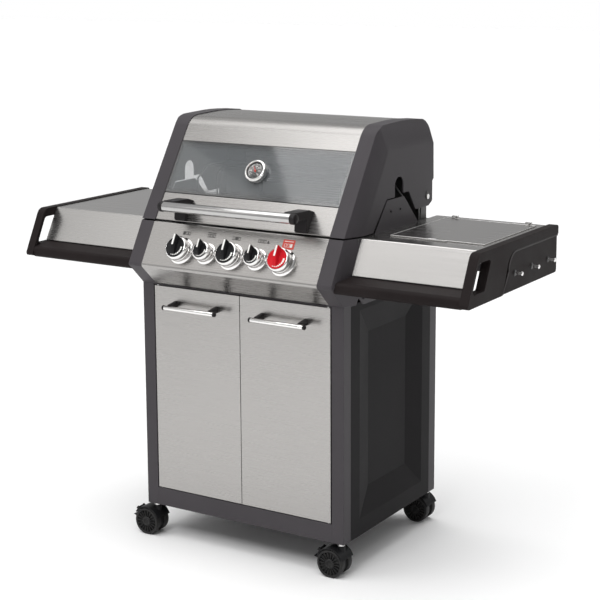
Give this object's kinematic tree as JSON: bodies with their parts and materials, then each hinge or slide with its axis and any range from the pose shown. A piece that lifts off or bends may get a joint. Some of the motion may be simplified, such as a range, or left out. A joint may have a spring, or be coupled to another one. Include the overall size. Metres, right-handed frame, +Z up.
{
  "type": "gas barbecue grill",
  "caption": "Gas barbecue grill on a closed cabinet cart, with a hinged windowed lid, push-and-turn burner knobs, side shelves, a covered side burner and swivel castors.",
  "frame": {"origin": "on the floor, under the middle of the cabinet across, and midway between the knob faces and the back of the cabinet", "axes": "+X to the user's right, +Y from the front to the back, +Z up"},
  "size_m": [1.383, 0.5974, 1.159],
  "materials": {
    "anthracite_paint": "satin powder coat",
    "stainless": "brushed",
    "zinc_steel": "zinc plated",
    "black_enamel": "gloss enamel",
    "cast_grate": "matt enamel",
    "chrome": "polished",
    "dark_plastic": "fine grain",
    "knob_black": "gloss",
    "knob_red": "gloss",
    "castor_plastic": "satin",
    "castor_wheel": "satin",
    "window_glass": "tinted",
    "brass_fitting": "machined",
    "aluminium": "cast"
  },
  "bodies": {
    "cart": {"posts": "anthracite_paint", "frame_rails": "anthracite_paint", "bottom_shelf": "anthracite_paint", "cabinet_panels": "anthracite_paint", "castor_stems": "zinc_steel", "door_magnets": "dark_plastic", "hinge_pins": "zinc_steel", "fasteners": "zinc_steel", "body_cheeks": "anthracite_paint", "control_panel": "stainless", "knob_bezels": "chrome", "gas_manifold": "aluminium", "firebox": "black_enamel", "main_burners": "stainless", "flame_tamers": "stainless", "cooking_grates": "cast_grate", "rear_burner": "stainless", "warming_rack": "chrome", "left_shelf_skin": "stainless", "right_shelf_skin": "stainless", "shelf_rails": "dark_plastic", "end_caps": "dark_plastic", "utensil_hooks": "chrome", "side_burner": "black_enamel", "pan_support": "cast_grate"},
    "lid": {"lid_sides": "anthracite_paint", "lid_skin": "stainless", "lid_strip": "stainless", "lid_glass": "window_glass", "lid_thermometer": "chrome", "lid_handle_bar": "chrome", "lid_handle_brackets": "dark_plastic"},
    "left_door": {"left_door": "stainless", "left_door_handle": "chrome", "left_door_standoffs": "dark_plastic"},
    "right_door": {"right_door": "stainless", "right_door_handle": "chrome", "right_door_standoffs": "dark_plastic"},
    "side_burner_cover": {"side_burner_cover": "stainless"},
    "grease_tray": {"grease_tray": "zinc_steel"},
    "valve_stem_1": {"valve_stem_1": "brass_fitting"},
    "knob_1": {"knob_1": "knob_black"},
    "valve_stem_2": {"valve_stem_2": "brass_fitting"},
    "knob_2": {"knob_2": "knob_black"},
    "valve_stem_3": {"valve_stem_3": "brass_fitting"},
    "knob_3": {"knob_3": "knob_black"},
    "valve_stem_4": {"valve_stem_4": "brass_fitting"},
    "knob_4": {"knob_4": "knob_black"},
    "valve_stem_5": {"valve_stem_5": "brass_fitting"},
    "knob_5": {"knob_5": "knob_red"},
    "front_left_castor": {"front_left_castor": "castor_plastic"},
    "front_left_wheels": {"front_left_wheels": "castor_wheel"},
    "front_right_castor": {"front_right_castor": "castor_plastic"},
    "front_right_wheels": {"front_right_wheels": "castor_wheel"},
    "rear_left_castor": {"rear_left_castor": "castor_plastic"},
    "rear_left_wheels": {"rear_left_wheels": "castor_wheel"},
    "rear_right_castor": {"rear_right_castor": "castor_plastic"},
    "rear_right_wheels": {"rear_right_wheels": "castor_wheel"},
    "front_left_brake": {"front_left_brake": "castor_plastic"},
    "front_right_brake": {"front_right_brake": "castor_plastic"}
  },
  "joints": [
    {"name": "lid_hinge", "type": "hinge", "parent": "cart", "child": "lid", "pos_m": [0, 0.1906, 0.9475], "axis": [-1, 0, 0], "range_deg": [0, 80]},
    {"name": "left_door_hinge", "type": "hinge", "parent": "cart", "child": "left_door", "pos_m": [-0.2675, -0.2084, 0.42825], "axis": [0, 0, -1], "range_deg": [0, 105]},
    {"name": "right_door_hinge", "type": "hinge", "parent": "cart", "child": "right_door", "pos_m": [0.2675, -0.2084, 0.42825], "axis": [0, 0, 1], "range_deg": [0, 105]},
    {"name": "valve_1_push", "type": "slide", "parent": "cart", "child": "valve_stem_1", "axis": [0, 0.8687, -0.4953], "range_m": [0, 0.004], "stiffness_N_per_m": 900, "springref_m": -0.003},
    {"name": "knob_1_turn", "type": "hinge", "parent": "valve_stem_1", "child": "knob_1", "pos_m": [-0.158, -0.25015, 0.82304], "axis": [0, -0.8687, 0.4953], "range_deg": [0, 230]},
    {"name": "valve_2_push", "type": "slide", "parent": "cart", "child": "valve_stem_2", "axis": [0, 0.8687, -0.4953], "range_m": [0, 0.004], "stiffness_N_per_m": 900, "springref_m": -0.003},
    {"name": "knob_2_turn", "type": "hinge", "parent": "valve_stem_2", "child": "knob_2", "pos_m": [-0.079, -0.25015, 0.82304], "axis": [0, -0.8687, 0.4953], "range_deg": [0, 230]},
    {"name": "valve_3_push", "type": "slide", "parent": "cart", "child": "valve_stem_3", "axis": [0, 0.8687, -0.4953], "range_m": [0, 0.004], "stiffness_N_per_m": 900, "springref_m": -0.003},
    {"name": "knob_3_turn", "type": "hinge", "parent": "valve_stem_3", "child": "knob_3", "pos_m": [0, -0.25015, 0.82304], "axis": [0, -0.8687, 0.4953], "range_deg": [0, 230]},
    {"name": "valve_4_push", "type": "slide", "parent": "cart", "child": "valve_stem_4", "axis": [0, 0.8687, -0.4953], "range_m": [0, 0.004], "stiffness_N_per_m": 900, "springref_m": -0.003},
    {"name": "knob_4_turn", "type": "hinge", "parent": "valve_stem_4", "child": "knob_4", "pos_m": [0.079, -0.25015, 0.82304], "axis": [0, -0.8687, 0.4953], "range_deg": [0, 230]},
    {"name": "valve_5_push", "type": "slide", "parent": "cart", "child": "valve_stem_5", "axis": [0, 0.8687, -0.4953], "range_m": [0, 0.004], "stiffness_N_per_m": 900, "springref_m": -0.003},
    {"name": "knob_5_turn", "type": "hinge", "parent": "valve_stem_5", "child": "knob_5", "pos_m": [0.158, -0.25015, 0.82304], "axis": [0, -0.8687, 0.4953], "range_deg": [0, 230]},
    {"name": "side_burner_cover_hinge", "type": "hinge", "parent": "cart", "child": "side_burner_cover", "pos_m": [0.511, 0.2236, 0.8915], "axis": [-1, 0, 0], "range_deg": [0, 95]},
    {"name": "grease_tray_slide", "type": "slide", "parent": "cart", "child": "grease_tray", "axis": [0, 1, 0], "range_m": [0, 0.26]},
    {"name": "front_left_swivel", "type": "hinge", "parent": "cart", "child": "front_left_castor", "pos_m": [-0.29675, -0.19565, 0.0375], "axis": [0, 0, 1], "continuous": true},
    {"name": "front_left_roll", "type": "hinge", "parent": "front_left_castor", "child": "front_left_wheels", "pos_m": [-0.31675, -0.19565, 0.0375], "axis": [0, 1, 0], "continuous": true},
    {"name": "front_left_brake_press", "type": "hinge", "parent": "front_left_castor", "child": "front_left_brake", "pos_m": [-0.35477, -0.19565, 0.06513], "axis": [0, -1, 0], "range_deg": [0, 14]},
    {"name": "front_right_swivel", "type": "hinge", "parent": "cart", "child": "front_right_castor", "pos_m": [0.29675, -0.19565, 0.0375], "axis": [0, 0, 1], "continuous": true},
    {"name": "front_right_roll", "type": "hinge", "parent": "front_right_castor", "child": "front_right_wheels", "pos_m": [0.27675, -0.19565, 0.0375], "axis": [0, 1, 0], "continuous": true},
    {"name": "front_right_brake_press", "type": "hinge", "parent": "front_right_castor", "child": "front_right_brake", "pos_m": [0.23873, -0.19565, 0.06513], "axis": [0, -1, 0], "range_deg": [0, 14]},
    {"name": "rear_left_swivel", "type": "hinge", "parent": "cart", "child": "rear_left_castor", "pos_m": [-0.29675, 0.27585, 0.0375], "axis": [0, 0, 1], "continuous": true},
    {"name": "rear_left_roll", "type": "hinge", "parent": "rear_left_castor", "child": "rear_left_wheels", "pos_m": [-0.31675, 0.27585, 0.0375], "axis": [0, 1, 0], "continuous": true},
    {"name": "rear_right_swivel", "type": "hinge", "parent": "cart", "child": "rear_right_castor", "pos_m": [0.29675, 0.27585, 0.0375], "axis": [0, 0, 1], "continuous": true},
    {"name": "rear_right_roll", "type": "hinge", "parent": "rear_right_castor", "child": "rear_right_wheels", "pos_m": [0.27675, 0.27585, 0.0375], "axis": [0, 1, 0], "continuous": true}
  ]
}
